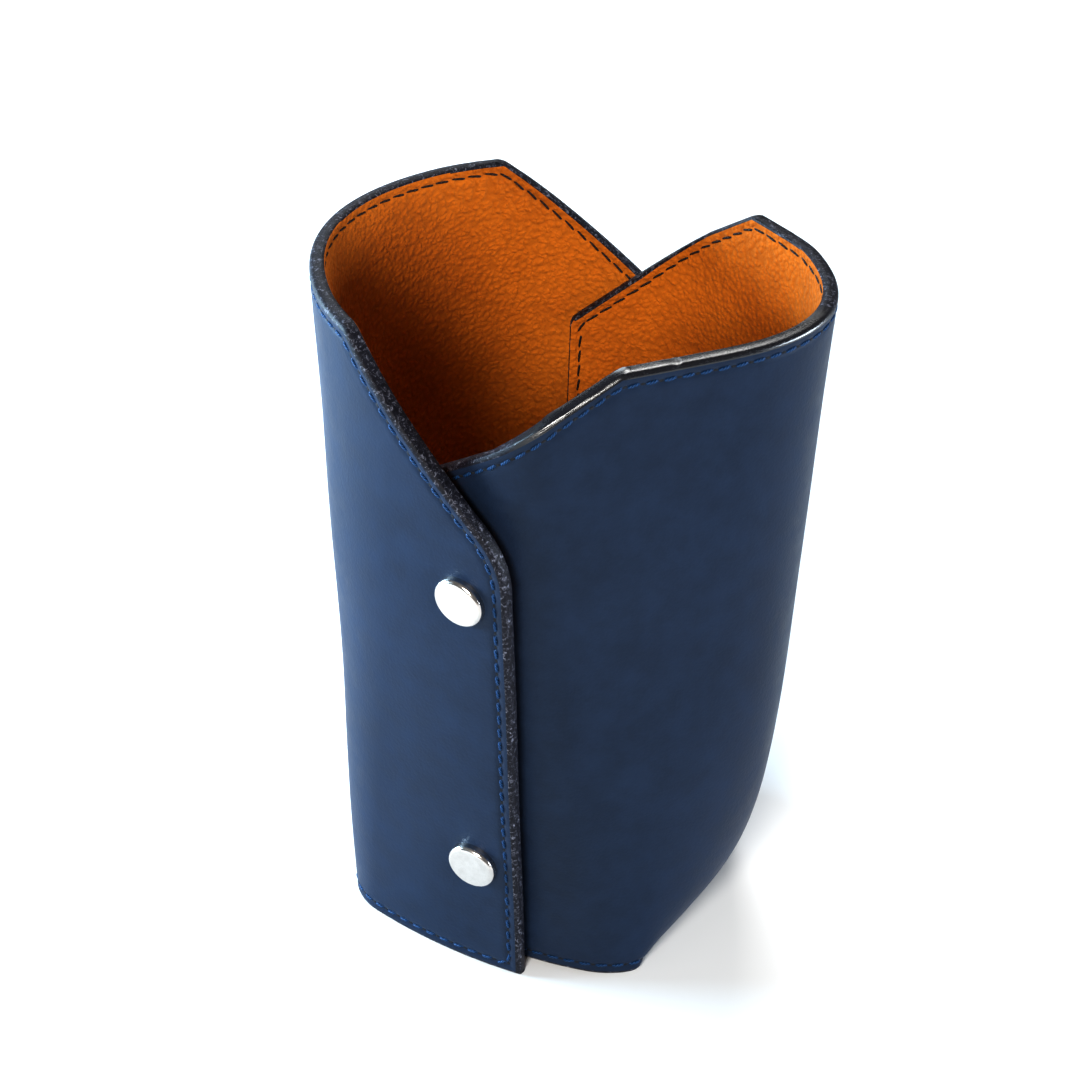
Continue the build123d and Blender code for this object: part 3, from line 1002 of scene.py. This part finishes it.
def sewing_tree():
    tree = bpy.data.node_groups.new("sew_along_path", "GeometryNodeTree")
    sockets = [
        ("Geometry", "NodeSocketGeometry"),
        ("Stitch", "NodeSocketObject"),
        ("Count", "NodeSocketInt"),
        ("End margin", "NodeSocketFloat"),
        ("Slant", "NodeSocketFloat"),
        ("Unevenness", "NodeSocketFloat"),
        ("Material", "NodeSocketMaterial"),
    ]
    for name, kind in sockets:
        tree.interface.new_socket(name, in_out="INPUT", socket_type=kind)
    tree.interface.new_socket("Geometry", in_out="OUTPUT", socket_type="NodeSocketGeometry")
    source = tree.nodes.new("NodeGroupInput").outputs
    result = tree.nodes.new("NodeGroupOutput")
    curve = add(tree, "GeometryNodeMeshToCurve", Mesh=source["Geometry"]).outputs["Curve"]
    whole = add(tree, "GeometryNodeCurveLength", Curve=curve).outputs["Length"]
    stop = reckon(tree, "SUBTRACT", whole, source["End margin"])
    trim = add(tree, "GeometryNodeTrimCurve", mode="LENGTH", Curve=curve)
    put(tree, trim.inputs[4], source["End margin"])
    put(tree, trim.inputs[5], stop)
    path = trim.outputs["Curve"]
    even = add(tree, "GeometryNodeResampleCurve", mode="COUNT", Curve=path, Count=source["Count"])
    tangent = add(tree, "GeometryNodeInputTangent").outputs["Tangent"]
    lift = add(tree, "GeometryNodeInputNamedAttribute", data_type="FLOAT_VECTOR", Name="lift")
    along_path = add(tree, "FunctionNodeAlignRotationToVector", axis="X", Vector=tangent)
    turns = {"Rotation": along_path.outputs["Rotation"], "Vector": lift.outputs["Attribute"]}
    upright = add(tree, "FunctionNodeAlignRotationToVector", axis="Z", pivot_axis="X", **turns)
    chance = add(tree, "FunctionNodeRandomValue", data_type="FLOAT", Seed=SEWING_SEED)
    put(tree, chance.inputs[2], reckon(tree, "SUBTRACT", source["Slant"], source["Unevenness"]))
    put(tree, chance.inputs[3], reckon(tree, "ADD", source["Slant"], source["Unevenness"]))
    slant = add(tree, "FunctionNodeAxisAngleToRotation", Axis=(0.0, 0.0, 1.0), Angle=chance.outputs[1])
    turns = {"Rotation": upright.outputs["Rotation"], "Rotate By": slant.outputs["Rotation"]}
    turned = add(tree, "FunctionNodeRotateRotation", rotation_space="LOCAL", **turns)
    shape = add(tree, "GeometryNodeObjectInfo", Object=source["Stitch"]).outputs["Geometry"]
    copies = {"Instance": shape, "Rotation": turned.outputs["Rotation"]}
    sewn = add(tree, "GeometryNodeInstanceOnPoints", Points=even.outputs["Curve"], **copies)
    real = add(tree, "GeometryNodeRealizeInstances", Geometry=sewn.outputs["Instances"]).outputs["Geometry"]
    dressed = add(tree, "GeometryNodeSetMaterial", Geometry=real, Material=source["Material"])
    tree.links.new(dressed.outputs["Geometry"], result.inputs["Geometry"])
    return tree


sewing = sewing_tree()
print("sewing tree:", len(sewing.nodes), "nodes")

# %% [markdown]
# One stitch is a short thread that comes out of one hole, lies on the leather and dives into the next.
# One hole is a flat dark lens: painted shade where the needle hole sinks in.

# %% One stitch and one hole
stitch_pitch = 3.0
stitch_sizes = {"outer": (2.4, 0.60, 0.44), "inner": (3.0, 0.42, 0.30)}
STITCH_RINGS = 9
STITCH_SIDES = 6
HOLE_SIDES = 8
stitch_dive = 1.15
stitch_taper = 0.35
stitch_height = 0.55
hole_width = 0.82
hole_profile = ((-0.2, 0.75), (0.01, 1.0), (0.045, 0.55))


def template(name, points, quads, chart):
    """A small mesh, used only as what the sewing repeats."""
    mesh = bpy.data.meshes.new(name)
    mesh.from_pydata((np.array(points) * MM).tolist(), [], quads)
    mesh.shade_smooth()
    layer = mesh.uv_layers.new(name="twist")
    for loop in mesh.loops:
        layer.data[loop.index].uv = chart[loop.vertex_index]
    return bpy.data.objects.new(name, mesh)


def one_stitch(length, width, thickness):
    points, chart, quads = [], [], []
    for ring in range(STITCH_RINGS):
        t = 2 * ring / (STITCH_RINGS - 1) - 1
        sink = thickness * stitch_dive * abs(t) ** 5
        slim = 1 - stitch_taper * abs(t) ** 4
        for corner in range(STITCH_SIDES):
            angle = 2 * pi * corner / STITCH_SIDES
            y = width / 2 * slim * cos(angle)
            z = thickness / 2 * slim * (sin(angle) + stitch_height) - sink
            points.append((t * length / 2, y, z))
            chart.append((ring / (STITCH_RINGS - 1), corner / STITCH_SIDES))
    for ring in range(STITCH_RINGS - 1):
        for corner in range(STITCH_SIDES):
            a = ring * STITCH_SIDES + corner
            b = ring * STITCH_SIDES + (corner + 1) % STITCH_SIDES
            quads.append((a, b, b + STITCH_SIDES, a + STITCH_SIDES))
    quads.append(tuple(reversed(range(STITCH_SIDES))))
    last = (STITCH_RINGS - 1) * STITCH_SIDES
    quads.append(tuple(last + corner for corner in range(STITCH_SIDES)))
    flipped = [tuple(reversed(quad)) for quad in quads]
    return template("stitch", points, flipped, chart)


def one_hole():
    points, quads = [], []
    for level, share in hole_profile:
        for corner in range(HOLE_SIDES):
            angle = 2 * pi * corner / HOLE_SIDES
            points.append((hole_width / 2 * share * cos(angle), hole_width / 2 * share * sin(angle), level))
    last = (len(hole_profile) - 1) * HOLE_SIDES
    for first in range(0, last, HOLE_SIDES):
        for corner in range(HOLE_SIDES):
            a, b = first + corner, first + (corner + 1) % HOLE_SIDES
            quads.append((a, b, b + HOLE_SIDES, a + HOLE_SIDES))
    quads.append(tuple(reversed(range(HOLE_SIDES))))
    quads.append(tuple(last + corner for corner in range(HOLE_SIDES)))
    return template("hole", points, quads, [(point[0], point[1]) for point in points])


stitch = {kind: one_stitch(*size) for kind, size in stitch_sizes.items()}
hole = one_hole()
print("stitch:", len(stitch["outer"].data.polygons), "faces, hole:", len(hole.data.polygons), "faces")

# %% [markdown]
# The thread follows lines of the grid a little way in from the edge: along the foot, the end and the rim
# of a flap, along the rim of a wall, and along the two free sides of the base. A path could be drawn by
# hand, but a line of the grid already lies on the leather, and its normals turn each stitch upright.

# %% Paths of the thread
stitch_slant = 7.0
stitch_unevenness = 3.0
base_sink = 0.15
base_margin = 2
ways = {"outer": 1.0, "inner": -1.0}


def path_cells(part, line):
    """Rows and columns of the grid that the thread of a piece follows, some lines from the edge."""
    top, bottom = ROWS - 1 - line, line
    front, rear = line, COLUMNS - 1 - line
    if part == "wall":
        return [(top, column) for column in range(FRONT_CORNER, REAR_CORNER + 1)]
    corner, end = (FRONT_CORNER, front) if part == "front_flap" else (REAR_CORNER, rear)
    step = 1 if end > corner else -1
    cells = [(bottom, column) for column in range(corner, end, step)]
    cells += [(row, end) for row in range(bottom, top)]
    cells += [(top, column) for column in range(end, corner - step, -step)]
    return cells


def sew(name, points, normals, shape, count, margin, slant, finish):
    """Repeats a shape along a path and returns the result as a plain mesh."""
    mesh = bpy.data.meshes.new(name)
    steps = [(index, index + 1) for index in range(len(points) - 1)]
    mesh.from_pydata((points * MM).tolist(), steps, [])
    lift = mesh.attributes.new("lift", "FLOAT_VECTOR", "POINT")
    lift.data.foreach_set("vector", normals.astype(np.float32).ravel())
    carrier = link(name + "_path", mesh)
    modifier = carrier.modifiers.new("sew", "NODES")
    modifier.node_group = sewing
    values = {
        "Stitch": shape, "Count": count, "End margin": margin, "Slant": slant,
        "Unevenness": radians(stitch_unevenness), "Material": finish,
    }
    for item in sewing.interface.items_tree:
        if item.in_out == "INPUT" and item.name in values:
            modifier[item.identifier] = values[item.name]
    graph = bpy.context.evaluated_depsgraph_get()
    sewn = bpy.data.meshes.new_from_object(carrier.evaluated_get(graph))
    sewn.name = name
    bpy.data.objects.remove(carrier)
    return link(name, sewn)


def sew_piece(kind, body, points, normals, side):
    """Thread and holes of one piece on one side of the sheet."""
    length = lengths_along(points)[-1]
    count = max(int(round(length / stitch_pitch)), 1)
    half = length / count / 2 * MM
    slant = radians(stitch_slant) * side
    threads = "thread_" + kind
    name, finish = f"{threads}_{body}", finishes[threads]
    pieces[threads, body] = sew(name, points, normals, stitch[kind], count, half, slant, finish)
    if kind == "outer":
        # The holes are dark discs: painted shade for the depth of each needle hole.
        name, finish = f"holes_{body}", finishes["holes"]
        pieces["holes", body] = sew(name, points, normals, hole, count + 1, 0.0, 0.0, finish)
    return count


stitches = 0
for panel, face in faces.items():
    for part in spans:
        for kind, way in ways.items():
            rows, columns = np.array(path_cells(part, seam_lines[kind])).T
            up = grid_normals(face["outer"], side_of[panel])[rows, columns] * way
            stitches += sew_piece(kind, f"{panel}_{part}", face[kind][rows, columns], up, way)
for kind, way in ways.items():
    for seam, row in (("front", seam_lines[kind]), ("rear", -1 - seam_lines[kind])):
        line = floor_face[kind][row, base_margin:-base_margin]
        up = floor_up[row, base_margin:-base_margin] * -way
        stitches += sew_piece(kind, "base_" + seam, line - up * base_sink, up, way)
print("stitches:", stitches)

# %% [markdown]
# Each piece of the base moves with the base body. The pieces of the walls and flaps keep their place in
# the frame. The CAD solids of the leather and the lining that they stand in for are hidden, and the snaps
# get the polished nickel.


for (kind, body), piece in pieces.items():
    if body.startswith("base"):
        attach(piece, "base")
    elif body.endswith("wall"):
        panel = body.split("_")[0]
        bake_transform(piece)
    else:
        panel, seam = body.split("_")[:2]
        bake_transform(piece)
    if kind == "outer":
        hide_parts(body + "_leather")
    if kind == "lining":
        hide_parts(body + "_lining")
for name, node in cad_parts.items():
    if "_snap_" in name:
        node.data.materials.clear()
        node.data.materials.append(finishes["snap"])
print("pieces:", len(pieces), "and snaps:", len([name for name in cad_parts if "_snap_" in name]))

# %% [markdown]
# The stage has a pale floor, soft area lights and the camera where the photograph was taken from: a
# little to the right of the front seam and well above the rim. A picture of a studio could light it, but
# five area lights can be placed one by one until the sheen on the leather is right.

# %% Floor, light and camera
floor_size = 4.0
world_strength = 0.26
view_gamma = 0.75


def pale_floor():
    material, tree, shader = finish_of("pale_floor")
    where = place_on(tree)
    cloud = noise_of(tree, where, scale=3.0)
    tone = ramp(tree, cloud, [(0.3, grey(0.76)), (0.7, grey(0.78))])
    dress(tree, shader, {"Base Color": tone, "Roughness": 0.9, "Specular IOR Level": 0.1})
    mesh = bpy.data.meshes.new("floor")
    half = floor_size / 2
    corners = [(-half, -half, 0), (half, -half, 0), (half, half, 0), (-half, half, 0)]
    mesh.from_pydata(corners, [], [(0, 1, 2, 3)])
    floor = link("floor", mesh)
    floor.data.materials.append(material)


def soft_light(name, place, size, power, colour):
    """An area light that looks at the middle of the cup."""
    lamp = bpy.data.lights.new(name, "AREA")
    lamp.shape = "RECTANGLE"
    lamp.size, lamp.size_y = size
    lamp.energy = power
    lamp.color = colour
    light = link(name, lamp)
    light.location = place
    light.rotation_mode = "QUATERNION"
    light.rotation_quaternion = (Vector(middle) - Vector(place)).to_track_quat("-Z", "Y")


pale_floor()
middle = (0.0, 0.0, 0.07)
soft_light("window_behind", (-0.62, 0.80, 0.60), (0.45, 0.45), 4.0, (0.84, 0.93, 1.0))
soft_light("overhead", (-0.20, 0.62, 1.07), (0.35, 0.35), 7.0, (1.0, 0.99, 0.97))
soft_light("left_side", (-0.93, -0.15, 0.20), (0.5, 0.3), 38.0, (0.58, 0.82, 1.0))
soft_light("front_key", (0.07, -0.85, 0.57), (0.30, 0.30), 12.5, (1.0, 0.97, 0.92))
soft_light("right_side", (0.95, 0.25, 0.17), (0.5, 0.25), 12.0, (0.80, 0.90, 1.0))
world = bpy.data.worlds.new("studio")
world.use_nodes = True
background = world.node_tree.nodes["Background"]
background.inputs["Color"].default_value = (1.0, 1.0, 1.0, 1.0)
background.inputs["Strength"].default_value = world_strength
bpy.context.scene.world = world
bpy.context.scene.view_settings.view_transform = "Standard"
bpy.context.scene.view_settings.gamma = view_gamma

camera_turn = 22.14
camera_height = 36.58
camera_roll = 0.59
camera_distance = 466.5
camera_aside = -2.26
camera_above = 16.39
camera_aim = 54.28
camera_lens = 86.53
camera_sensor = 36.0


def photo_camera():
    turn, tilt, roll = radians(camera_turn), radians(camera_height), radians(camera_roll)
    ahead = Vector((-sin(turn) * cos(tilt), cos(turn) * cos(tilt), -sin(tilt)))
    right = Vector((cos(turn), sin(turn), 0.0))
    up = Vector((-sin(turn) * sin(tilt), cos(turn) * sin(tilt), cos(tilt)))
    aim = Vector((shift, 0.0, camera_aim))
    place = aim + right * camera_aside + up * camera_above - ahead * camera_distance
    rolled_right = right * cos(roll) + up * sin(roll)
    rolled_up = up * cos(roll) - right * sin(roll)
    lens = bpy.data.cameras.new("camera")
    lens.lens = camera_lens
    lens.sensor_width = camera_sensor
    lens.clip_start = 0.01
    camera = link("camera", lens)
    axes = Matrix((rolled_right, rolled_up, -ahead)).transposed()
    camera.matrix_world = Matrix.Translation(place * MM) @ axes.to_4x4()
    bpy.context.scene.camera = camera
    return camera


print("camera at", [round(value, 3) for value in photo_camera().location])
